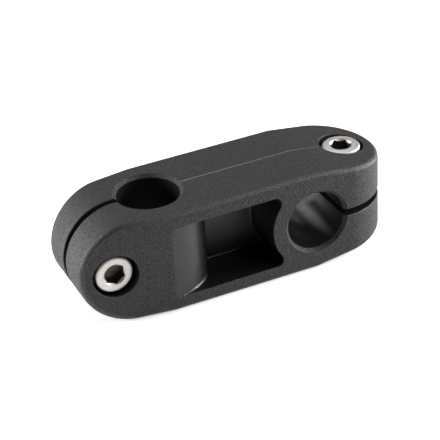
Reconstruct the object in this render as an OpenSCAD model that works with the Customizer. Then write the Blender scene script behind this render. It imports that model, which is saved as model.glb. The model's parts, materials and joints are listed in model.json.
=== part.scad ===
// Cross clamp block: joins two round tubes at right angles, side by side.
// One moulded body holds an upright bore and a cross bore. Each bore is slit through
// its own ear, and a cap screw with a captive nut draws the two halves of the ear together.
// X runs along the block, Z is up, and the origin is the middle of the body.

/* [Bores] */
// Diameter of both tube bores
bore_d = 16; // [12:0.5:22]
// Distance between the two bore axes
bore_pitch = 40; // [38:0.5:60]
// Chamfer at each mouth of a bore
bore_chamfer = 0.85; // [0.3:0.05:1.2]
// Width of the slit through each ear
slit_w = 1.8; // [1:0.1:2.6]

/* [Body] */
// Wall in front of and behind the upright bore
side_wall = 5.75; // [5:0.25:9]
// Wall above and below the cross bore
top_wall = 6; // [5.5:0.25:9]
// Slope of each ear's faces, from its bore to its end
ear_taper = 8; // [3:0.5:9]
// Wall between a screw recess and the end of its ear
end_wall = 3.2; // [2.5:0.1:6]
// Rounding of the outer edges
edge_r = 1.4; // [0.8:0.1:2]

/* [Pockets] */
// Thickness of the flanges above and below the pockets
flange_t = 4; // [3:0.25:5.5]
// Thickness of the web between the front and rear pockets
web_t = 2; // [1.4:0.1:4]
// Wall between the pockets and the cross bore
cross_wall = 4.5; // [3:0.25:6]
// Depth of the pockets at the upright boss, where they start
boss_step = 0.15; // [0.1:0.05:0.5]
// Radius of the pocket corners
pocket_r = 1.8; // [0.8:0.1:2.4]
// Fillet between the upright boss and the flanges
boss_fillet = 0.8; // [0.4:0.1:1.2]

/* [Screws] */
// Thread diameter of the clamp screws
screw_d = 6; // [5:0.5:6]
// Length of the screw under its head
screw_len = 16; // [14:1:18]
// Diameter of the screw head
head_d = 10; // [9:0.25:11]
// Height of the screw head
head_h = 6; // [5:0.25:6.5]
// Rounding of the head's upper edge
head_edge_r = 0.5; // [0.2:0.1:0.8]
// Width across flats of the hexagon socket
key_af = 5; // [4:0.5:5.5]
// Depth of the hexagon socket
key_depth = 3; // [2:0.25:3.5]
// How far the countersink of the socket reaches past its flats
key_mouth = 0.38; // [0.1:0.02:0.5]
// Chamfer at the screw's tip
tip_chamfer = 0.7; // [0.3:0.1:1]
// How far the upright bore's screw head lies below its face
upright_sink = 0.9; // [0:0.1:1.2]
// How far the cross bore's screw head lies below its face
cross_sink = 0.1; // [0:0.1:1.2]

/* [Nuts] */
// Width across flats of the nuts
nut_af = 10; // [8:0.5:10]
// Height of the nuts
nut_h = 5; // [4:0.25:5.5]
// How far a nut lies below the face of its ear
nut_sink = 2; // [1.5:0.1:2.5]

/* [Clearances] */
// Gap round a screw head in its recess
head_gap = 0.8; // [0.3:0.1:1]
// Gap round a screw in the body
hole_gap = 0.3; // [0.2:0.05:0.5]
// Gap round a screw in its nut
thread_gap = 0.05; // [0.02:0.01:0.08]
// Gap at each flat of a nut in its pocket
nut_gap = 0.1; // [0.05:0.05:0.25]
// Wall between a screw recess and the bore
recess_wall = 0.7; // [0.6:0.1:3]

/* [Hidden] */

body_colour = "#2c2c2e";
steel_colour = "#c9cacc";

// Outer sizes of the body
body_w = bore_d + 2 * side_wall;
body_h = bore_d + 2 * top_wall;
recess_d = head_d + 2 * head_gap;
screw_offset = bore_d / 2 + recess_wall + recess_d / 2;
bore_x = bore_pitch / 2;
screw_x = bore_x + screw_offset;
body_l = 2 * (screw_x + recess_d / 2 + end_wall);

// Rounds that must stay true, coarse rounds of the outer edges, and how far a cut overshoots
round_fn = 96;
edge_fn = 32;
end_fn = 72;
over = 1;

// Half thickness of an ear at its screw, for a body of this thickness at its bore
function ear_half(thickness) = thickness / 2 - screw_offset * tan(ear_taper);
// Height of the seat under a screw head, and of the seat under a nut, from the slit's middle
function head_seat(thickness, sink) = ear_half(thickness) - sink - head_h;
function nut_seat(thickness) = ear_half(thickness) - nut_sink - nut_h;

// The pockets: half height, walls at both ends, and the rounds beside the cross bore
pocket_half = body_h / 2 - flange_t;
boss_r = body_w / 2 - boss_step;
cross_r = bore_d / 2 + cross_wall;
corner_z = pocket_half - pocket_r;
corner_x = bore_x - sqrt(pow(cross_r + pocket_r, 2) - pow(corner_z, 2));
corner_touch = cross_r / (cross_r + pocket_r);

// Places its child at the end with the upright bore. As drawn, it is at the cross bore's end.
module upright_end() {
    rotate(180, [0, 1, -1]) children();
}

// Outline of the block drawn in by the edge rounding: sloped ear on the left, round on the right
module block_outline(width) {
    inner = width / 2 - edge_r;
    end_x = body_l / 2 - edge_r;
    crease_x = bore_x - edge_r * tan(ear_taper / 2);
    tip = width / 2 - edge_r / cos(ear_taper) - (end_x - bore_x) * tan(ear_taper);
    round_x = body_l / 2 - width / 2;
    polygon([
        [-end_x, -tip], [-crease_x, -inner], [round_x, -inner],
        [round_x, inner], [-crease_x, inner], [-end_x, tip]
    ]);
    translate([round_x, 0]) circle(r = inner, $fn = end_fn);
}

// Ball whose poles lie on its axis, so that a rounded block keeps its full height
module edge_ball() {
    rotate_extrude($fn = edge_fn) intersection() {
        circle(r = edge_r, $fn = edge_fn);
        translate([0, -edge_r]) square([edge_r, 2 * edge_r]);
    }
}

// The solid block: the plan outline and the side outline crossed, with rounded edges
module block() {
    minkowski() {
        intersection() {
            linear_extrude(height = body_h - 2 * edge_r, center = true) block_outline(body_w);
            rotate([90, 0, 0]) linear_extrude(height = body_w - 2 * edge_r, center = true)
                mirror([1, 0]) block_outline(body_h);
        }
        edge_ball();
    }
}

// Through bore along Z with a chamfer at each mouth
module bore_cut(length) {
    mouth_r = bore_d / 2 + bore_chamfer;
    cylinder(d = bore_d, h = length + 2 * over, center = true, $fn = round_fn);
    for (side = [0, 1]) mirror([0, 0, side]) translate([0, 0, length / 2 - bore_chamfer])
        cylinder(r1 = bore_d / 2, r2 = mouth_r + over, h = bore_chamfer + over, $fn = round_fn);
}

// Regular hexagonal prism standing on Z = 0, with flats that face along X
module hex_prism(across_flats, height) {
    rotate(30) cylinder(d = across_flats / cos(30), h = height, $fn = 6);
}

// Slit, screw hole, head recess and nut pocket of one ear, whose bore runs along Y
module ear_cuts(thickness, sink) {
    cut_h = thickness / 2 + over;
    translate([bore_x, -body_l / 2, -slit_w / 2]) cube([body_l / 2, body_l, slit_w]);
    translate([screw_x, 0, 0]) {
        cylinder(d = screw_d + 2 * hole_gap, h = 2 * cut_h, center = true, $fn = round_fn);
        translate([0, 0, head_seat(thickness, sink)])
            cylinder(d = recess_d, h = cut_h, $fn = round_fn);
        translate([0, 0, -nut_seat(thickness) - cut_h]) hex_prism(nut_af + 2 * nut_gap, cut_h);
    }
}

// Outline of a pocket seen from the front, from the upright bore's axis to the cross bore's wall
module pocket_outline() {
    left_x = -bore_x + pocket_r;
    difference() {
        union() {
            translate([left_x, -pocket_half]) square([corner_x - left_x, 2 * pocket_half]);
            translate([-bore_x, -corner_z]) square([corner_x + bore_x, 2 * corner_z]);
            for (side = [-1, 1]) {
                for (x = [left_x, corner_x])
                    translate([x, side * corner_z]) circle(r = pocket_r, $fn = round_fn);
                polygon([
                    [corner_x, 0], [corner_x, side * corner_z],
                    [bore_x + (corner_x - bore_x) * corner_touch, side * corner_z * corner_touch]
                ]);
            }
        }
        translate([bore_x, 0]) circle(r = cross_r, $fn = round_fn);
    }
}

// Upright boss that the pockets are cut round, with a fillet under each flange
module upright_boss() {
    translate([-bore_x, 0, 0]) {
        cylinder(r = boss_r, h = 2 * body_h, center = true, $fn = round_fn);
        for (side = [0, 1]) mirror([0, 0, side]) rotate_extrude($fn = round_fn) difference() {
            translate([boss_r - boss_fillet, pocket_half - boss_fillet])
                square([2 * boss_fillet, boss_fillet + over]);
            translate([boss_r + boss_fillet, pocket_half - boss_fillet])
                circle(r = boss_fillet, $fn = round_fn);
        }
    }
}

// Front and rear pockets, down to the web
module pocket_cuts() {
    depth = (body_w - web_t) / 2 + over;
    difference() {
        for (side = [0, 1]) mirror([0, side, 0]) translate([0, -web_t / 2, 0])
            rotate([90, 0, 0]) linear_extrude(height = depth) pocket_outline();
        upright_boss();
    }
}

// Cap screw with its head above Z = 0 and its shank below, on the Z axis
module cap_screw() {
    shank_r = screw_d / 2;
    head_r = head_d / 2;
    color(steel_colour) difference() {
        union() {
            rotate_extrude($fn = round_fn) {
                square([head_r - head_edge_r, head_h]);
                square([head_r, head_h - head_edge_r]);
                translate([head_r - head_edge_r, head_h - head_edge_r])
                    circle(r = head_edge_r, $fn = round_fn);
            }
            rotate_extrude($fn = round_fn) polygon([
                [0, over], [shank_r, over], [shank_r, tip_chamfer - screw_len],
                [shank_r - tip_chamfer, -screw_len], [0, -screw_len]
            ]);
        }
        translate([0, 0, head_h - key_depth]) hex_prism(key_af, key_depth + over);
        translate([0, 0, head_h - key_mouth])
            cylinder(r1 = key_af / 2, r2 = key_af / 2 + key_mouth + over, h = key_mouth + over,
                $fn = round_fn);
    }
}

// Hexagon nut below Z = 0, with its corners chamfered at both faces
module hex_nut() {
    flat_r = nut_af / 2;
    corner_r = flat_r / cos(30);
    drop = (corner_r - flat_r) * tan(30);
    color(steel_colour) difference() {
        intersection() {
            translate([0, 0, -nut_h]) hex_prism(nut_af, nut_h);
            rotate_extrude($fn = round_fn) polygon([
                [0, 0], [flat_r, 0], [corner_r, -drop],
                [corner_r, drop - nut_h], [flat_r, -nut_h], [0, -nut_h]
            ]);
        }
        cylinder(d = screw_d + 2 * thread_gap, h = 2 * (nut_h + over), center = true, $fn = round_fn);
    }
}

module clamp_body() {
    color(body_colour) difference() {
        block();
        translate([-bore_x, 0, 0]) bore_cut(body_h);
        translate([bore_x, 0, 0]) rotate([90, 0, 0]) bore_cut(body_w);
        ear_cuts(body_h, cross_sink);
        upright_end() ear_cuts(body_w, upright_sink);
        pocket_cuts();
    }
}

module upright_screw() {
    upright_end() translate([screw_x, 0, head_seat(body_w, upright_sink)]) cap_screw();
}

module upright_nut() {
    upright_end() translate([screw_x, 0, -nut_seat(body_w)]) hex_nut();
}

// This screw was left with the corners of its socket along the block
module cross_screw() {
    translate([screw_x, 0, head_seat(body_h, cross_sink)]) rotate(30) cap_screw();
}

module cross_nut() {
    translate([screw_x, 0, -nut_seat(body_h)]) hex_nut();
}

clamp_body();
upright_screw();
upright_nut();
cross_screw();
cross_nut();
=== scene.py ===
# %% [markdown]
# # A moulded cross clamp block
# The block joins two 16 mm tubes at right angles. One bore stands upright, the other runs from front to
# rear, and each is slit through a tapered ear that a cap screw and a captive nut draw together. The
# imported model gives every size and place, so the first step loads it and sets each part's points in place.

# %% Load the imported model
import json
import math

import bmesh
import bpy
from mathutils import Matrix, Vector


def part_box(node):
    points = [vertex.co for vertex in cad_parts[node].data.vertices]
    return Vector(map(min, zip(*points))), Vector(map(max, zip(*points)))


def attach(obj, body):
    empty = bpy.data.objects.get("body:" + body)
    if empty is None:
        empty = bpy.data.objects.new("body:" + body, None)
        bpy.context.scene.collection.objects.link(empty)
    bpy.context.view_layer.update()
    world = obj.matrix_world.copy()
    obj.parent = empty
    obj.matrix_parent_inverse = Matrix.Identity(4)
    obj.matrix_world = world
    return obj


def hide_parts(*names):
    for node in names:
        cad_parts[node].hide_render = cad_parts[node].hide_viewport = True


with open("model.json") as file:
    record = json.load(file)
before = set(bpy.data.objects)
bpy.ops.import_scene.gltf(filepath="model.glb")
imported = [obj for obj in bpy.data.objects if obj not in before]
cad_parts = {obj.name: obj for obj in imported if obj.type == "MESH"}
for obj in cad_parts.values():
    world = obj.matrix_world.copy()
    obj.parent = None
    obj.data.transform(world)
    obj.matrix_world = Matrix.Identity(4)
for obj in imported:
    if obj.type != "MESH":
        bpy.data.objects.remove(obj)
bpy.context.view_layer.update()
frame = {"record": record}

MM = 0.001

# %% [markdown]
# ## Sizes
# The body is centred on the origin, so the highest corner of its box gives half of each side. The two
# tube mounts give the bores, and the boxes of one screw and one nut give the fasteners. What the boxes
# can't tell is named here in millimetres.

# %% Sizes from the model, and the moulding's own
half_l, half_w, half_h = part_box("clamp_body")[1]
mounts = {mount["name"]: mount for mount in frame["record"]["mounts"]}
bore_x = mounts["cross_bore"]["pos_m"][0]
bore_r = mounts["cross_bore"]["dims"]["r_mm"] * MM
bore_chamfer = half_h - mounts["upright_bore"]["dims"]["length_mm"] * MM / 2
screw_low, screw_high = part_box("cross_screw")
nut_low, nut_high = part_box("cross_nut")
screw_x = (screw_low.x + screw_high.x) / 2
head_r = (screw_high.x - screw_low.x) / 2

ear_taper = math.radians(8)
edge_r = 1.4 * MM
slit_w = 1.8 * MM
slit_edge = 0.25 * MM
web_t = 2.0 * MM
flange_t = 4.0 * MM
boss_r = 13.6 * MM
boss_fillet = 0.8 * MM
cross_wall_r = 12.5 * MM
pocket_r = 1.8 * MM
mouth_edge = 0.3 * MM
web_fillet = 0.5 * MM
# how far a cutting tool reaches past the skin, and how near two points have to be to count as one
over = 2.0 * MM
tiny = 0.002 * MM
print("bores", 2 * bore_r / MM, "mm at x", bore_x / MM, "screws at x", round(screw_x / MM, 2))

# %% [markdown]
# ## The block
# The real body is one injection moulding. It starts as a cube at the size of the box, cut where the
# tapers begin. The left ear narrows from front to rear and the right ear from top to bottom, each towards
# its own end. Both ends are then rounded by a bevel as wide as half the block, and every outer edge gets
# its soft moulded round.


# %% Helpers for editing by selection
def choose(piece):
    """Selects one piece and nothing else."""
    bpy.ops.object.select_all(action="DESELECT")
    piece.select_set(True)
    bpy.context.view_layer.objects.active = piece


def edit(piece):
    """Opens one piece for editing."""
    choose(piece)
    bpy.ops.object.mode_set(mode="EDIT")


def close():
    """Goes back to object mode."""
    bpy.ops.object.mode_set(mode="OBJECT")


def pick(piece, kind, test):
    """Selects the vertices, edges or faces that pass a test, and says how many there are."""
    bpy.ops.mesh.select_all(action="DESELECT")
    bpy.ops.mesh.select_mode(type=kind)
    mesh = bmesh.from_edit_mesh(piece.data)
    parts = {"VERT": mesh.verts, "EDGE": mesh.edges, "FACE": mesh.faces}[kind]
    chosen = [part for part in parts if test(part)]
    for part in chosen:
        part.select_set(True)
    bmesh.update_edit_mesh(piece.data)
    return len(chosen)


def middle(edge):
    """The point halfway along an edge."""
    return (edge.verts[0].co + edge.verts[1].co) / 2


def along(edge, axis):
    """True if an edge runs along an axis."""
    run = (edge.verts[1].co - edge.verts[0].co).normalized()
    return abs(run.dot(axis)) > 0.999


def sharp(edge, degrees=35):
    """True if the faces at an edge meet at more than that angle."""
    return len(edge.link_faces) == 2 and edge.calc_face_angle() > math.radians(degrees)


def mend(piece):
    """Welds points that fell together and turns every face outwards."""
    edit(piece)
    bpy.ops.mesh.select_all(action="SELECT")
    bpy.ops.mesh.remove_doubles(threshold=tiny)
    bpy.ops.mesh.normals_make_consistent(inside=False)
    close()


def tell(piece, what):
    """Prints what was made, with the volume it closes in and the edges that are left open."""
    mesh = bmesh.new()
    mesh.from_mesh(piece.data)
    left_open = sum(1 for e in mesh.edges if len(e.link_faces) != 2)
    print(f"{what}: {mesh.calc_volume() / MM**3:.1f} mm3, {len(mesh.faces)} faces, {left_open} open edges")
    mesh.free()


# %% A tapered block with round ends
X, Y, Z = Vector((1, 0, 0)), Vector((0, 1, 0)), Vector((0, 0, 1))
bpy.ops.object.select_all(action="DESELECT")
bpy.ops.mesh.primitive_cube_add(size=1)
body = bpy.context.object
body.name = "clamp_moulding"
body.scale = (2 * half_l, 2 * half_w, 2 * half_h)
bpy.ops.object.transform_apply(scale=True)
edit(body)
for x in (-bore_x, bore_x):
    bpy.ops.mesh.select_all(action="SELECT")
    bpy.ops.mesh.bisect(plane_co=(x, 0, 0), plane_no=X, threshold=tiny)
narrowing = (half_l - bore_x) * math.tan(ear_taper)
pick(body, "VERT", lambda v: v.co.x < -half_l + tiny)
bpy.ops.transform.resize(value=(1, 1 - narrowing / half_w, 1))
pick(body, "VERT", lambda v: v.co.x > half_l - tiny)
bpy.ops.transform.resize(value=(1, 1, 1 - narrowing / half_h))

END_STEPS = 28
pick(body, "EDGE", lambda e: middle(e).x < -half_l + tiny and along(e, Y))
bpy.ops.mesh.bevel(offset=half_h, segments=END_STEPS, clamp_overlap=False)
pick(body, "EDGE", lambda e: middle(e).x > half_l - tiny and along(e, Z))
bpy.ops.mesh.bevel(offset=half_w, segments=END_STEPS, clamp_overlap=False)
bpy.ops.mesh.select_all(action="SELECT")
bpy.ops.mesh.remove_doubles(threshold=tiny)
rims = pick(body, "EDGE", sharp)
bpy.ops.mesh.bevel(offset=edge_r, segments=6, clamp_overlap=False)
close()
mend(body)
tell(body, f"block, {rims} rim edges rounded")

# %% [markdown]
# ## The parting line
# The two halves of the mould meet along the middle of the block, and the joint leaves a hairline on the
# top and the bottom, from the upright bore to the right ear's screw. Close cuts give those faces points
# of their own, and the middle row is drawn in a little, because the line mustn't stand proud of the
# block's box. Its edges are marked sharp, or the smooth shading of the finished piece would hide it.

# %% A hairline along the top and the bottom
head_gap = 0.8 * MM
recess_r = head_r + head_gap
line_front, line_rear = -0.06 * MM, 0.35 * MM
line_depth = 0.06 * MM
line_gap = 0.6 * MM
line_end = screw_x - recess_r - line_gap
fade = 0.5 * MM
# a face that leans less than twelve degrees counts as flat, so the tapered ears do too: cosine and sine
FLAT, LEAN = 0.98, 0.2
# what lies higher than this belongs to the top or, below, to the bottom
skin_z = 0.8 * half_h


def flat_above(face):
    """True for the top and bottom faces, tapered or not."""
    return abs(face.normal.z) > FLAT


edit(body)
for x in (line_end - fade, line_end):
    pick(body, "FACE", lambda f: flat_above(f) and f.calc_center_bounds().x > bore_x)
    bpy.ops.mesh.bisect(plane_co=(x, 0, 0), plane_no=X, threshold=tiny)
for y in (line_front, 0, line_rear):
    pick(body, "FACE", lambda f: flat_above(f) and f.calc_center_bounds().x < line_end)
    bpy.ops.mesh.bisect(plane_co=(0, y, 0), plane_no=Y, threshold=tiny)
line_start = -half_l + half_h
row = pick(body, "VERT", lambda v: abs(v.co.y) < tiny and line_start - tiny < v.co.x < line_end - tiny)
bpy.ops.transform.resize(value=(1, 1, 1 - line_depth / half_h))


def on_line(edge):
    """True for the three long edges of the hairline."""
    across = [v.co.y for v in edge.verts]
    level = any(all(abs(y - row_y) < tiny for y in across) for row_y in (line_front, 0, line_rear))
    return level and abs(middle(edge).z) > skin_z and middle(edge).x < line_end


crisp = pick(body, "EDGE", on_line)
bpy.ops.mesh.mark_sharp()
close()
tell(body, f"parting line, {row} points, {crisp} crisp edges")

# %% [markdown]
# ## The slits
# A thin steel blade in the mould leaves each slit, from the bore out through the end of its ear. The left
# slit stands upright and the right one lies flat, so that each lets its own bore close on a tube. The cut
# edges are rounded a little, since no moulded edge is knife sharp.


# %% Cutting with tools
def box(name, low, high):
    """A block between two corners."""
    bpy.ops.object.select_all(action="DESELECT")
    low, high = Vector(low), Vector(high)
    bpy.ops.mesh.primitive_cube_add(size=1, location=(low + high) / 2)
    block = bpy.context.object
    block.name = name
    block.scale = high - low
    bpy.ops.object.transform_apply(location=True, scale=True)
    return block


def combine(piece, tool, how="DIFFERENCE"):
    """Cuts a tool from a piece, or joins it, or keeps what both share. The tool is used up."""
    choose(piece)
    step = piece.modifiers.new(tool.name, "BOOLEAN")
    step.operation, step.solver, step.object = how, "EXACT", tool
    bpy.ops.object.modifier_apply(modifier=step.name)
    bpy.data.objects.remove(tool)


def soften(piece, test, width, steps=3):
    """Rounds the edges that pass a test."""
    edit(piece)
    count = pick(piece, "EDGE", test)
    bpy.ops.mesh.bevel(offset=width, segments=steps, clamp_overlap=False)
    close()
    return count


# %% Two slits
half_slit = slit_w / 2
combine(
    body,
    box("upright_slit", (-half_l - over, -half_slit, -half_h - over), (-bore_x, half_slit, half_h + over)),
)
combine(
    body,
    box("cross_slit", (bore_x, -half_w - over, -half_slit), (half_l + over, half_w + over, half_slit)),
)


def on_slit(edge):
    """True for the edges where a slit comes out through the skin of the block."""
    points = [v.co for v in edge.verts]
    upright = all(abs(abs(p.y) - half_slit) < tiny and p.x < 0 for p in points)
    cross = all(abs(abs(p.z) - half_slit) < tiny and p.x > 0 for p in points)
    at_bore = all(abs(abs(p.x) - bore_x) < tiny for p in points)
    return (upright or cross) and not at_bore and sharp(edge)


tell(body, f"slits, {soften(body, on_slit, slit_edge)} edges rounded")

# %% [markdown]
# ## The pockets
# Between the bores the block is cored out from the front and from the rear, down to a thin web, so that
# the wall is nearly even and the moulding doesn't sink. The left wall of each pocket is the round boss of
# the upright bore, which meets the flanges in a fillet. The right wall follows the cross bore. The
# outline of the pocket is drawn point by point, filled and pushed to the web, and the boss is taken out
# of it.


# %% Drawing outlines and turning profiles
def draw(name, start, runs, normal):
    """Draws an outline from a first point: a run is a step, or an arc's centre, degrees and pieces."""
    bpy.ops.object.select_all(action="DESELECT")
    bpy.ops.mesh.primitive_plane_add(size=MM)
    outline = bpy.context.object
    outline.name = name
    edit(outline)
    bpy.ops.mesh.select_mode(type="VERT")
    bpy.ops.mesh.select_all(action="SELECT")
    bpy.ops.mesh.merge(type="CENTER")
    bpy.ops.transform.translate(value=start)
    for run in runs:
        if isinstance(run, Vector):
            bpy.ops.mesh.extrude_vertices_move(TRANSFORM_OT_translate={"value": run})
        else:
            centre, degrees, pieces = run
            # spin turns clockwise about its axis, hence the minus
            bpy.ops.mesh.spin(steps=pieces, angle=-math.radians(degrees), center=centre, axis=normal)
    return outline


def place(piece, turned=(0, 0, 0), at=(0, 0, 0)):
    """Turns a piece, moves it and keeps the new place in its mesh."""
    choose(piece)
    piece.rotation_euler, piece.location = turned, at
    bpy.ops.object.transform_apply(location=True, rotation=True)
    return piece


def standing(run):
    """A run in radii and heights, set upright in the plane of X and Z."""
    if len(run) == 2:
        return Vector((run[0], 0, run[1]))
    (radius, height), degrees, pieces = run
    return Vector((radius, 0, height)), degrees, pieces


def turn(name, start, runs, steps=96):
    """Turns a profile of radii and heights, drawn from the Z axis back to it, into a round solid."""
    solid = draw(name, (0, 0, start), [standing(run) for run in runs], -Y)
    bpy.ops.mesh.select_all(action="SELECT")
    bpy.ops.mesh.spin(steps=steps, angle=math.tau, center=(0, 0, 0), axis=Z)
    close()
    mend(solid)
    # half a step round, so that none of its points falls on the block's own middle planes
    return place(solid, turned=(0, 0, math.pi / steps))


# %% Where the pocket's walls lie
pocket_h = half_h - flange_t
corner_z = pocket_h - pocket_r
# the corner's centre sits where its arc touches both the flange and the cross bore's wall
corner_x = bore_x - math.sqrt((cross_wall_r + pocket_r) ** 2 - corner_z**2)
lean = math.degrees(math.atan2(corner_z, bore_x - corner_x))
left_x = -bore_x + pocket_r
# the mouth is rounded from just right of the point where the boss's fillet comes out through the face
past_boss = 0.4 * MM
round_x = -bore_x + math.sqrt((boss_r + boss_fillet) ** 2 - half_w**2) + past_boss
print("pocket", round(2 * pocket_h / MM, 2), "mm high, corners at x", round(corner_x / MM, 2))


# %% The tools for a pocket and its boss
def pocket_tool(side):
    """What one pocket takes out of the block, for the front (-1) or the rear (1)."""
    mouth = side * (half_w + over)
    outline = draw(
        "pocket",
        (left_x, mouth, -pocket_h),
        [
            Vector((round_x - left_x, 0, 0)),
            Vector((corner_x - round_x, 0, 0)),
            ((corner_x, mouth, -corner_z), 90 + lean, 10),
            ((bore_x, mouth, 0), -2 * lean, 24),
            ((corner_x, mouth, corner_z), 90 + lean, 10),
            Vector((round_x - corner_x, 0, 0)),
            Vector((left_x - round_x, 0, 0)),
            ((left_x, mouth, corner_z), 90, 10),
            Vector((0, 0, -2 * corner_z)),
            ((left_x, mouth, -corner_z), 90, 10),
        ],
        -Y,
    )
    bpy.ops.mesh.select_all(action="SELECT")
    bpy.ops.mesh.remove_doubles(threshold=tiny)
    bpy.ops.mesh.edge_face_add()
    bpy.ops.mesh.extrude_region_move(TRANSFORM_OT_translate={"value": (0, side * web_t / 2 - mouth, 0)})
    close()
    mend(outline)
    return outline


def boss_tool():
    """The boss of the upright bore, flared where it meets the flanges."""
    flare = boss_r + boss_fillet
    waist = pocket_h - boss_fillet
    return place(
        turn(
            "boss",
            half_h,
            [
                (flare, 0),
                (0, pocket_h - half_h),
                ((flare, waist), 90, 8),
                (0, -2 * waist),
                ((flare, -waist), 90, 8),
                (0, pocket_h - half_h),
                (-flare, 0),
            ],
            steps=128,
        ),
        at=(-bore_x, 0, 0),
    )


# %% A pocket on each side of the web
def on_web(edge):
    """True for the edges of a pocket's tool where it stops at the web."""
    return all(abs(abs(v.co.y) - web_t / 2) < tiny for v in edge.verts) and sharp(edge)


for side in (-1, 1):
    tool = pocket_tool(side)
    combine(tool, boss_tool())
    print("web fillet on", soften(tool, on_web, web_fillet), "edges")
    combine(body, tool)
tell(body, "pockets")

# %% [markdown]
# ## The bores
# Each bore is made by a polished core pin, so its wall is smoother than the skin, and both mouths are
# chamfered to let a tube in. The tool is a turned profile that flares at both ends.


# %% Two chamfered bores
def bore_tool(name, half):
    """A pin as long as the block, flared by the chamfer and on past the skin."""
    flare = bore_chamfer + over
    return turn(
        name,
        half + over,
        [
            (bore_r + flare, 0),
            (-flare, -flare),
            (0, -2 * (half - bore_chamfer)),
            (flare, -flare),
            (-bore_r - flare, 0),
        ],
        steps=128,
    )


combine(body, place(bore_tool("upright_bore", half_h), at=(-bore_x, 0, 0)))
combine(body, place(bore_tool("cross_bore", half_w), turned=(math.pi / 2, 0, 0), at=(bore_x, 0, 0)))
tell(body, "bores")

# %% [markdown]
# ## Seats for the screws and nuts
# Each ear has a recess for the screw's head on one face, a clearance hole, and a hexagonal pocket on the
# other face that keeps the nut from turning. The right ear's screw stands upright. The left ear is the
# same ear turned over about the slanting line between Y and Z, so the same tools serve both, each at that
# ear's own depths.

# %% Sizes of the seats
# an M6 cap screw's head is 10 mm across and as high as its thread is thick
thread_r = 0.6 * head_r
head_h = 2 * thread_r
# heights of the seats under the head and under the nut: in the right ear, and in the left ear turned over
seats = [
    (screw_high.z - head_h, nut_high.z),
    (-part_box("upright_screw")[0].y - head_h, -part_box("upright_nut")[0].y),
]
hole_gap = 0.3 * MM
hole_r = thread_r + hole_gap
nut_flats = nut_high.x - nut_low.x
nut_gap = 0.1 * MM
pocket_flats = nut_flats + 2 * nut_gap
TURN_OVER = Matrix.Rotation(math.pi, 4, Vector((0, 1, -1)))
print("seats at", [[round(v / MM, 2) for v in pair] for pair in seats], "mm")


# %% The tools for a screw and a nut
def hex_corner(flats):
    """How far a hexagon's corners are from its middle, from its width across the flats."""
    return flats / 2 / math.cos(math.pi / 6)


def hex_bar(name, flats, height):
    """A hexagonal bar along the Z axis, about the origin, with two flats facing along X."""
    bpy.ops.object.select_all(action="DESELECT")
    bpy.ops.mesh.primitive_cylinder_add(vertices=6, radius=hex_corner(flats), depth=height)
    bar = bpy.context.object
    bar.name = name
    return bar


def turn_over(piece):
    """Takes a piece from the right ear's place to the left ear's."""
    choose(piece)
    piece.matrix_world = TURN_OVER
    bpy.ops.object.transform_apply(location=True, rotation=True)
    return piece


def screw_tool(left):
    """The recess and the clearance hole in one turned profile."""
    top, seat_z = half_h + over, seats[left][0]
    return place(
        turn(
            "screw_hole",
            top,
            [
                (recess_r, 0),
                (0, seat_z - top),
                (hole_r - recess_r, 0),
                (0, -top - seat_z),
                (-hole_r, 0),
            ],
        ),
        at=(screw_x, 0, 0),
    )


def nut_tool(left):
    """A hexagonal shaft up to the nut's inner face."""
    low, high = -half_h - over, seats[left][1]
    return place(hex_bar("nut_pocket", pocket_flats, high - low), at=(screw_x, 0, (low + high) / 2))


# %% Head recesses, screw holes and nut pockets
for left in (False, True):
    for make in (screw_tool, nut_tool):
        tool = make(left)
        combine(body, turn_over(tool) if left else tool)
        tell(body, make.__name__)

# %% [markdown]
# ## Soft mouths
# Every mouth is rounded a little once all the cutting is done, so that no later cut has to work on narrow
# faces. The edges are found by where they lie. In the left ear they are first turned over to the right
# ear's place.


# %% Finding the mouths
def in_ear(point, left):
    """A point or a direction as the right ear would have it."""
    return TURN_OVER @ point if left else point


def hex_reach(point):
    """How far a point is from the nut's axis, measured square to the nearest flat."""
    turns = [math.radians(a) for a in (0, 60, 120)]
    return max(abs((point.x - screw_x) * math.cos(a) + point.y * math.sin(a)) for a in turns)


def on_seat_mouth(edge, left):
    """True for the edges where a head recess or a nut pocket comes out through the ear."""
    points = [in_ear(v.co, left) for v in edge.verts]
    high = all(p.z > seats[left][0] + tiny for p in points)
    low = all(p.z < seats[left][1] - tiny for p in points)
    recess = high and all(abs(math.hypot(p.x - screw_x, p.y) - recess_r) < tiny for p in points)
    pocket = low and all(abs(hex_reach(p) - pocket_flats / 2) < tiny for p in points)
    return (recess or pocket) and sharp(edge) and not along(edge, in_ear(Z, left))


def on_mouth(edge):
    """True for the edges where a pocket comes out through the front or the rear, right of the boss."""
    points = [v.co for v in edge.verts]
    at_face = all(abs(abs(p.y) - half_w) < tiny for p in points)
    inside = all(round_x - tiny < p.x < bore_x and abs(p.z) < pocket_h + tiny for p in points)
    off_bore = all(math.hypot(p.x - bore_x, p.z) > cross_wall_r - tiny for p in points)
    return at_face and inside and off_bore and sharp(edge)


# %% Rounding the mouths of the pockets, recesses and nut seats
seat_edge = 0.2 * MM
tell(body, f"pocket mouths, {soften(body, on_mouth, mouth_edge)} edges rounded")
for left in (False, True):
    count = soften(body, lambda e: on_seat_mouth(e, left), seat_edge)
    tell(body, f"seat mouths, {count} edges rounded")

# %% [markdown]
# ## Smooth skin
# The flat faces are wide and the rounds are narrow, so the shading normals are weighted by area. Only
# edges under thirty degrees are smoothed, so chamfers and cut edges stay crisp.


# %% Shading of a finished piece
def finish(piece, degrees=30):
    """Smooths the rounds of a piece and keeps its flats flat."""
    mend(piece)
    bpy.ops.object.shade_smooth_by_angle(angle=math.radians(degrees))
    weigh = piece.modifiers.new("flats stay flat", "WEIGHTED_NORMAL")
    weigh.keep_sharp = True
    bpy.ops.object.modifier_apply(modifier=weigh.name)
    tell(piece, piece.name)


finish(body)

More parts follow.
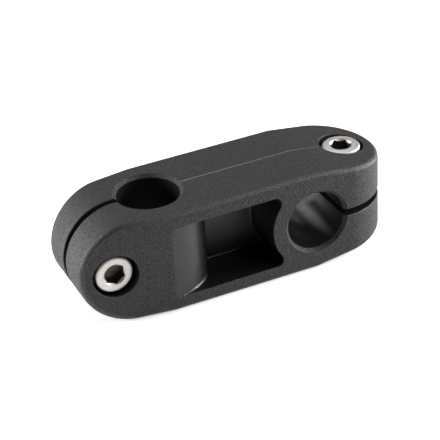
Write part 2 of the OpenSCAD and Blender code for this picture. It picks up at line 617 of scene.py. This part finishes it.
# %% [markdown]
# ## The cap screws
# The screws are M6 by 16 mm with a hexagon socket, cold-forged and then rolled with a full-length thread.
# The head is a turned profile with a rounded rim and a knurled side. The thread is one tooth of the
# coarse pitch, swept by a screw modifier and trimmed to a chamfered tip. The screw is made upright on the
# Z axis, because spin and the screw modifier turn about it, and is placed in both ears once it is
# finished.

# %% The head with its knurl
head_round = 0.8 * MM
foot_chamfer = 0.2 * MM
knurl_ramp = 0.2 * MM
knurl_low, knurl_high, knurl_depth = 0.6 * MM, head_h - 1.0 * MM, 0.12 * MM
KNURLS = 54

seat_z = seats[False][0]
screw = turn(
    "cross_cap_screw",
    seat_z,
    [
        (head_r - foot_chamfer, 0),
        (foot_chamfer, foot_chamfer),
        (0, knurl_low - foot_chamfer),
        (0, knurl_ramp),
        (0, knurl_high - knurl_low - 2 * knurl_ramp),
        (0, knurl_ramp),
        (0, head_h - knurl_high - head_round),
        ((head_r - head_round, screw_high.z - head_round), 90, 6),
        (head_round - head_r, 0),
    ],
    steps=2 * KNURLS,
)
edit(screw)


def in_groove(vert):
    """True for every other point round the head, between the ends of the knurl."""
    step = math.floor(math.atan2(vert.co.y, vert.co.x) / math.tau * 2 * KNURLS)
    level = vert.co.z - seat_z
    on_side = abs(math.hypot(vert.co.x, vert.co.y) - head_r) < tiny
    return on_side and step % 2 and knurl_low + knurl_ramp / 2 < level < knurl_high - knurl_ramp / 2


grooves = pick(screw, "VERT", in_groove)
bpy.ops.transform.resize(value=(1 - knurl_depth / head_r, 1 - knurl_depth / head_r, 1))
close()
tell(screw, f"head, {grooves} groove points")

# %% The hexagon socket, with its drill point and lead-in
key_flats = head_r
key_r = hex_corner(key_flats)
key_depth = 0.5 * head_h
socket = place(hex_bar("socket", key_flats, 2 * key_depth), at=(0, 0, screw_high.z))
drill_r = key_flats / 2 - 0.25 * MM
drill_depth = 0.9 * MM
drill_overlap = 0.2 * MM
drill = turn(
    "drill_point",
    screw_high.z - key_depth - drill_depth,
    [(drill_r, drill_depth + drill_overlap), (-drill_r, 0)],
    steps=48,
)
combine(screw, socket)
combine(screw, drill)
tell(screw, "socket and drill point")
lead_in = 0.1 * MM
mouth_r = key_r + lead_in
mouth = turn(
    "socket_mouth",
    screw_high.z - mouth_r,
    [(mouth_r + over, mouth_r + over), (-mouth_r - over, 0)],
)
combine(screw, mouth)
tell(screw, "socket mouth")

# %% One tooth of the thread, swept up
pitch = 1.0 * MM
# depth of a metric thread's tooth
tooth = 0.6134 * pitch
root_r = thread_r - tooth
rod_low = screw_low.z - 2 * pitch
turns = math.ceil((seat_z - rod_low) / pitch) + 2
rod = draw(
    "thread",
    (root_r, 0, rod_low),
    [
        # root, flank, crest and flank of the metric profile
        Vector((0, 0, pitch / 4)),
        Vector((tooth, 0, pitch * 5 / 16)),
        Vector((0, 0, pitch / 8)),
        Vector((-tooth, 0, pitch * 5 / 16)),
    ],
    Y,
)
close()
sweep = rod.modifiers.new("one tooth swept up", "SCREW")
sweep.axis, sweep.angle, sweep.screw_offset, sweep.iterations = "Z", math.tau, pitch, turns
sweep.steps = sweep.render_steps = 48
sweep.use_merge_vertices, sweep.merge_threshold = True, tiny
bpy.ops.object.modifier_apply(modifier=sweep.name)
mend(rod)
edit(rod)
bpy.ops.mesh.select_all(action="DESELECT")
bpy.ops.mesh.select_mode(type="EDGE")
bpy.ops.mesh.select_non_manifold()
bpy.ops.mesh.fill()
close()
mend(rod)
tell(rod, f"thread of {turns} turns")

# %% A chamfered tip, and the thread joined to the head
tip = 0.7 * MM
into_head = 0.3 * MM
sleeve = turn(
    "tip",
    screw_low.z,
    [
        (thread_r - tip, 0),
        (tip + over, tip + over),
        (0, seat_z - screw_low.z - tip - over + into_head),
        (-thread_r - over, 0),
    ],
    steps=48,
)
combine(rod, sleeve, "INTERSECT")
tell(rod, "trimmed thread")
combine(screw, rod, "UNION")
finish(screw)

# %% [markdown]
# ## The nuts
# The nuts are plain M6 hexagon nuts, chamfered at thirty degrees on both faces and countersunk at both
# ends of the thread. A double cone keeps what a hexagonal bar and the chamfers share.

# %% A chamfered hexagon nut
nut_h = nut_high.z - nut_low.z
bar_r = hex_corner(nut_flats)
nut = hex_bar("cross_hex_nut", nut_flats, 2 * nut_h)
slope = math.tan(math.radians(30))
# a nut's face is turned to a little less than the width across its flats
face_r = 0.475 * nut_flats
rise = (bar_r + over - face_r) * slope
cones = turn(
    "nut_chamfer",
    -nut_h / 2,
    [
        (face_r, 0),
        (bar_r + over - face_r, rise),
        (0, nut_h - 2 * rise),
        (face_r - bar_r - over, rise),
        (-face_r, 0),
    ],
)
combine(nut, cones, "INTERSECT")
tell(nut, "chamfered bar")

# %% The nut's countersunk bore
thread_gap = 0.05 * MM
nut_bore_r = thread_r + thread_gap
sink = 0.35 * MM
countersunk = turn(
    "nut_bore",
    nut_h / 2 + over,
    [
        (nut_bore_r + sink + over, 0),
        (-sink - over, -sink - over),
        (0, 2 * sink - nut_h),
        (sink + over, -sink - over),
        (-nut_bore_r - sink - over, 0),
    ],
    steps=64,
)
combine(nut, countersunk)
place(nut, at=(0, 0, (nut_low.z + nut_high.z) / 2))
finish(nut)


# %% A screw and a nut in each ear
def copy_over(piece, name, deeper):
    """Copies a finished piece, with a mesh of its own, to the left ear, where it sits deeper or less deep."""
    choose(piece)
    bpy.ops.object.duplicate()
    twin = bpy.context.object
    twin.name = twin.data.name = name
    return place(turn_over(place(twin, at=(screw_x, 0, 0))), at=(0, deeper, 0))


# the screws stop where they grip, in the photograph with their sockets a few degrees past square
socket_turn = math.radians(7)
place(screw, turned=(0, 0, socket_turn))
left_screw = copy_over(screw, "upright_cap_screw", seats[False][0] - seats[True][0])
left_nut = copy_over(nut, "upright_hex_nut", seats[False][1] - seats[True][1])
place(screw, at=(screw_x, 0, 0))
place(nut, at=(screw_x, 0, 0))
print("copied", left_screw.name, "and", left_nut.name)

# %% [markdown]
# ## What rides with what
# The block is one body, and each screw and each nut moves on its own when its screw is undone.

# %% Bodies, slots and the nodes they stand for
for piece, node, body_name, slot_name in (
    (body, "clamp_body", "body", "moulded_body"),
    (screw, "cross_screw", "cross_screw", "stainless_screw"),
    (nut, "cross_nut", "cross_nut", "stainless_nut"),
    (left_screw, "upright_screw", "upright_screw", "stainless_screw"),
    (left_nut, "upright_nut", "upright_nut", "stainless_nut"),
):
    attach(piece, body_name)
    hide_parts(node)
    print(piece.name, "stands for", node, "and rides on", body_name)

# %% [markdown]
# ## Finishes
# The block is black polyamide with a third of glass fibre, moulded in a spark-eroded tool: a matt skin
# with a fine even grain, rubbed a little smoother along the rounded edges, which are a little lighter as a
# painted highlight. The cores of the pockets were ground and the pins of the bores polished, so those
# walls are smoother; they, the slits and the head recesses are painted darker as painted shade. The
# parting line is painted a lighter grey, as a painted highlight on its ridge. The screws and nuts are
# cold-forged stainless steel, bright but not polished, with dull punched sockets, stained by oil and
# painted darker still as shade.


# %% Colours and nodes
def linear(code):
    """An sRGB hex code as a linear colour."""
    parts = [int(code[i : i + 2], 16) / 255 for i in (1, 3, 5)]
    return [p / 12.92 if p <= 0.04045 else ((p + 0.055) / 1.055) ** 2.4 for p in parts] + [1]


def put(tree, kind, sockets, **settings):
    """Adds a node. A socket takes a value, or an output of another node."""
    node = tree.nodes.new(kind)
    for name, value in settings.items():
        setattr(node, name, value)
    for name, value in sockets.items():
        if isinstance(value, bpy.types.NodeSocket):
            tree.links.new(value, node.inputs[name])
        else:
            node.inputs[name].default_value = value
    return node


def new_material(name):
    """An empty material with its output, its shader and the object's own coordinates."""
    material = bpy.data.materials.new(name)
    material.use_nodes = True
    tree = material.node_tree
    tree.nodes.clear()
    where = put(tree, "ShaderNodeTexCoord", {}).outputs["Object"]
    shader = put(tree, "ShaderNodeBsdfPrincipled", {})
    put(tree, "ShaderNodeOutputMaterial", {"Surface": shader.outputs["BSDF"]})
    return material, tree, shader, where


# the real grain is about 0.15 mm across and a few hundredths deep, and is drawn coarser and deeper to show
def polyamide(name, dark, light, rough, uneven, grain_mm=0.42, depth_mm=0.25):
    """Black glass-filled polyamide with a moulded grain of a given size and depth."""
    material, tree, shader, where = new_material(name)
    grain = put(
        tree,
        "ShaderNodeTexNoise",
        {"Vector": where, "Scale": 1 / (grain_mm * MM), "Detail": 2.0, "Roughness": 0.6},
    )
    height = grain.outputs["Fac"]
    spread = {"Value": height, "From Min": 0.35, "From Max": 0.65}
    peak = put(tree, "ShaderNodeMapRange", spread)
    tone = put(
        tree,
        "ShaderNodeMix",
        {"Factor": peak.outputs["Result"], "A": linear(dark), "B": linear(light)},
        data_type="RGBA",
    )
    matt = put(tree, "ShaderNodeMapRange", {**spread, "To Min": rough + uneven, "To Max": rough - uneven})
    relief = put(tree, "ShaderNodeBump", {"Height": height, "Strength": 1.0, "Distance": depth_mm * MM})
    tree.links.new(tone.outputs["Result"], shader.inputs["Base Color"])
    tree.links.new(matt.outputs["Result"], shader.inputs["Roughness"])
    tree.links.new(relief.outputs["Normal"], shader.inputs["Normal"])
    shader.inputs["IOR"].default_value = 1.53
    return material


def stainless(name, dark, light, rough):
    """Cold-forged stainless steel with faint forging marks."""
    material, tree, shader, where = new_material(name)
    mark_mm, mark_depth_mm, uneven = 0.9, 0.008, 0.06
    marks = put(tree, "ShaderNodeTexNoise", {"Vector": where, "Scale": 1 / (mark_mm * MM), "Detail": 4.0})
    height = marks.outputs["Fac"]
    tone = put(
        tree,
        "ShaderNodeMix",
        {"Factor": height, "A": linear(dark), "B": linear(light)},
        data_type="RGBA",
    )
    spread = {"Value": height, "From Min": 0.3, "From Max": 0.7}
    worn = put(tree, "ShaderNodeMapRange", {**spread, "To Min": rough - uneven, "To Max": rough + uneven})
    relief = put(tree, "ShaderNodeBump", {"Height": height, "Strength": 1.0, "Distance": mark_depth_mm * MM})
    tree.links.new(tone.outputs["Result"], shader.inputs["Base Color"])
    tree.links.new(worn.outputs["Result"], shader.inputs["Roughness"])
    tree.links.new(relief.outputs["Normal"], shader.inputs["Normal"])
    shader.inputs["Metallic"].default_value = 1.0
    return material


# %% The block's finishes
# dead matt, with an even grain that breaks up every reflection
skin = polyamide("black polyamide, spark-eroded grain", "#131315", "#242426", rough=0.7, uneven=0.12)
# the same grain, rubbed smoother by handling, so that the rounds catch a soft light; their slightly lighter
# colour is a painted highlight
rubbed_with_painted_highlight = polyamide("black polyamide, smoother edges, painted highlight", "#151517", "#272729", rough=0.54, uneven=0.12)
# nearly black, with a faint gloss over a shallow grain; the dark colour is painted shade in the pockets and
# the head recesses
ground_with_painted_shade = polyamide(
    "black polyamide, pocket core finish, painted shade", "#0c0c0d", "#18181a", rough=0.38, uneven=0.06, depth_mm=0.08
)
# the smoothest walls, which mirror the light at their far ends a little; the dark colour is painted shade
# inside the bores and the slits
pin = polyamide(
    "black polyamide, polished core pin, painted shade",
    "#0e0e0f",
    "#161617",
    rough=0.36,
    uneven=0.03,
    grain_mm=1.6,
    depth_mm=0.02,
)
# a lighter grey along the parting line: a painted highlight where its ridge catches the light
parting_line_highlight = polyamide(
    "black polyamide, parting line, painted highlight", "#47474a", "#525255", rough=0.45, uneven=0.05, depth_mm=0.02
)
for finish_of in (skin, rubbed_with_painted_highlight, ground_with_painted_shade, pin, parting_line_highlight):
    body.data.materials.append(finish_of)
    print("block:", finish_of.name)

# %% Where each finish lies
near = 0.05 * MM
# a hole's wall runs along its axis, and the round at its mouth leans
STRAIGHT = 0.1


def on_rim(face):
    """True for the rounded outer edges: neither a flat, nor a round end, nor the chamfer of a bore."""
    spot, out = face.calc_center_median(), face.normal
    flat = max(abs(out.y), abs(out.z)) > FLAT
    left_end = spot.x < -half_l + half_h and abs(out.y) < LEAN
    right_end = spot.x > half_l - half_w and abs(out.z) < LEAN
    reach = bore_r + bore_chamfer + near
    chamfer = math.hypot(spot.x + bore_x, spot.y) < reach or math.hypot(spot.x - bore_x, spot.z) < reach
    return not (flat or left_end or right_end or chamfer)


def in_pocket(face):
    """True for the walls of the pockets."""
    spot = face.calc_center_median()
    upright, cross = math.hypot(spot.x + bore_x, spot.y), math.hypot(spot.x - bore_x, spot.z)
    between = -bore_x < spot.x < bore_x and upright > boss_r - near and cross > cross_wall_r - near
    return between and abs(spot.y) < half_w - mouth_edge / 2 and abs(spot.z) < pocket_h + near


def in_line(face):
    """True for the wide slope of the parting line."""
    spot = face.calc_center_median()
    # the chamfer of the upright bore leans by 45 degrees
    on_top = abs(face.normal.z) > 0.9 and abs(spot.z) > skin_z
    return on_top and 0 < spot.y < line_rear and spot.x < line_end


def in_bore(face):
    """True for the walls of the two bores, without their chamfers."""
    spot, out = face.calc_center_median(), face.normal
    upright, cross = math.hypot(spot.x + bore_x, spot.y), math.hypot(spot.x - bore_x, spot.z)
    in_upright = abs(upright - bore_r) < near and abs(out.z) < STRAIGHT
    in_cross = abs(cross - bore_r) < near and abs(out.y) < STRAIGHT
    return in_upright or in_cross


def in_recess(face):
    """True for the round walls of the two head recesses."""
    for left in (False, True):
        spot, out = in_ear(face.calc_center_median(), left), in_ear(face.normal, left)
        wall = abs(math.hypot(spot.x - screw_x, spot.y) - recess_r) < near
        if wall and abs(out.z) < STRAIGHT and spot.z > seats[left][0]:
            return True
    return False


def in_slit(face):
    """True for the two walls of each slit, which the blade left smooth."""
    spot, out = face.calc_center_median(), face.normal
    upright = spot.x < 0 and abs(abs(spot.y) - half_slit) < near and abs(out.y) > FLAT
    cross = spot.x > 0 and abs(abs(spot.z) - half_slit) < near and abs(out.z) > FLAT
    return upright or cross


# %% Painting the block
def paint(piece, finish_of, test):
    """Gives a finish to the faces that pass a test."""
    edit(piece)
    count = pick(piece, "FACE", test)
    piece.active_material_index = piece.data.materials.find(finish_of.name)
    bpy.ops.object.material_slot_assign()
    close()
    print(finish_of.name, "on", count, "faces of", piece.name)


for finish_of, test in (
    # painted highlight: the rounded edges take a slightly lighter colour
    (rubbed_with_painted_highlight, on_rim),
    # painted shade: the pockets and the head recesses take a near-black colour
    (ground_with_painted_shade, in_pocket),
    (ground_with_painted_shade, in_recess),
    # painted shade: the bores and the slits take a darker colour than the skin
    (pin, in_bore),
    (pin, in_slit),
    # painted highlight: the parting line takes a lighter grey
    (parting_line_highlight, in_line),
):
    paint(body, finish_of, test)

# %% The finishes of the screws and nuts
below_lead_in = 0.4 * MM
# tumbled after forging: bright, with broad soft reflections
bright = stainless("stainless steel, cold-forged bright", "#b4b1ac", "#d6d3ce", rough=0.5)
# pressed in a smooth die: a little greyer and glossier
satin = stainless("stainless steel, cold-forged satin", "#a5a29d", "#c2bfba", rough=0.38)
# scored by the punch and stained by its oil, and darkened further as painted shade deep in the socket
socket_stain_and_shade = stainless("stainless steel, punched socket", "#45423e", "#827d76", rough=0.5)
for piece, finish_of in ((screw, bright), (left_screw, bright), (nut, satin), (left_nut, satin)):
    piece.data.materials.append(finish_of)


def in_socket(face, left):
    """True for the flats and the bottom of a screw's socket, below its lead-in."""
    spot = in_ear(face.calc_center_median(), left)
    depth = seats[left][0] + head_h - spot.z
    return math.hypot(spot.x - screw_x, spot.y) < key_r and below_lead_in < depth < head_h - tiny


# painted shade: each socket takes a dark colour, over its real oil stain
for piece, left in ((screw, False), (left_screw, True)):
    piece.data.materials.append(socket_stain_and_shade)
    paint(piece, socket_stain_and_shade, lambda f: in_socket(f, left))

# %% [markdown]
# ## The studio
# The block lies on a white table that runs out of the picture and glows a little, as a light table does.
# Two strong soft boxes stand low, one at the right end and one behind the left end, and light the round
# ends. Two dim ones behind shine through the cross bore and on the screws' heads. A faint one overhead
# and a weak fill at the front right bring out the rounded edges, and the faces towards the camera stay
# dark.

# %% The table
TABLE_SIZE = 12
# just clear of the block, so that the two faces don't flicker into each other
table_z = -half_h - 0.02 * MM
bpy.ops.object.select_all(action="DESELECT")
bpy.ops.mesh.primitive_plane_add(size=TABLE_SIZE, location=(0, 0, table_z))
table = bpy.context.object
table.name = "white_table"
# an even white with a soft sheen, which mirrors the block faintly
white, tree, shader, where = new_material("white paper table")
cloud_mm = 40
fibre = put(tree, "ShaderNodeTexNoise", {"Vector": where, "Scale": 1 / (cloud_mm * MM), "Detail": 2.0})
shade = put(
    tree,
    "ShaderNodeMix",
    {"Factor": fibre.outputs["Fac"], "A": linear("#f4f4f4"), "B": linear("#f7f7f7")},
    data_type="RGBA",
)
tree.links.new(shade.outputs["Result"], shader.inputs["Base Color"])
shader.inputs["Roughness"].default_value = 0.25
tree.links.new(shade.outputs["Result"], shader.inputs["Emission Color"])
shader.inputs["Emission Strength"].default_value = 0.55
table.data.materials.append(white)
print("table at", round(table_z / MM, 2), "mm")

# %% The soft boxes
BOX_FAR, BOX_SIZE = 0.7, 0.32


def towards(azimuth, elevation):
    """The direction out from the block. Azimuth 0 is the front and 90 the right."""
    a, e = math.radians(azimuth), math.radians(elevation)
    return Vector((math.sin(a) * math.cos(e), -math.cos(a) * math.cos(e), math.sin(e)))


def soft_box(name, azimuth, elevation, watts):
    """A square soft box that looks at the block."""
    at = towards(azimuth, elevation) * BOX_FAR
    lamp = bpy.data.lights.new(name, "AREA")
    lamp.shape, lamp.size, lamp.energy = "SQUARE", BOX_SIZE, watts
    holder = bpy.data.objects.new(name, lamp)
    bpy.context.scene.collection.objects.link(holder)
    holder.location = at
    holder.rotation_euler = (-at).to_track_quat("-Z", "Y").to_euler()
    print(name, "at", [round(v, 2) for v in at], "m")


soft_box("right soft box", azimuth=80, elevation=13, watts=8.9)
soft_box("left soft box", azimuth=243, elevation=11, watts=8.6)
soft_box("rear soft box", azimuth=210, elevation=34, watts=1.15)
soft_box("rear right soft box", azimuth=158, elevation=56, watts=1.35)
soft_box("overhead soft box", azimuth=85, elevation=72, watts=0.3)
soft_box("front fill", azimuth=35, elevation=49, watts=1.2)

# %% The room
world = bpy.data.worlds.new("white room")
bpy.context.scene.world = world
world.use_nodes = True
room = world.node_tree.nodes["Background"]
room.inputs["Color"].default_value = linear("#ffffff")
room.inputs["Strength"].default_value = 0.02
bpy.context.scene.view_settings.view_transform = "Standard"
print("room light", round(room.inputs["Strength"].default_value, 3))

# %% [markdown]
# ## The camera
# The photograph was taken from the front left and above with a long lens. The place was fitted to the
# block's outline, the mouths of the bores and the rims of the screws' heads.

# %% Camera at the photograph's view
PICTURE = 440
view_azimuth, view_elevation, view_roll = -23.869, 31.344, -3.317
distance, focal_px = 419.305 * MM, 1637.683
aim = Vector((-0.92, 0, -0.348)) * MM
back = towards(view_azimuth, view_elevation)
right = Z.cross(back).normalized()
up = back.cross(right)
lens = bpy.data.cameras.new("camera")
lens.sensor_width = 36
lens.lens = focal_px / PICTURE * lens.sensor_width
lens.clip_start = 0.01
camera = bpy.data.objects.new("camera", lens)
bpy.context.scene.collection.objects.link(camera)
camera.matrix_world = (
    Matrix.Translation(aim + back * distance)
    @ Matrix((right, up, back)).transposed().to_4x4()
    @ Matrix.Rotation(math.radians(view_roll), 4, "Z")
)
bpy.context.scene.camera = camera
print("lens", round(lens.lens, 1), "mm at", round(distance / MM), "mm")
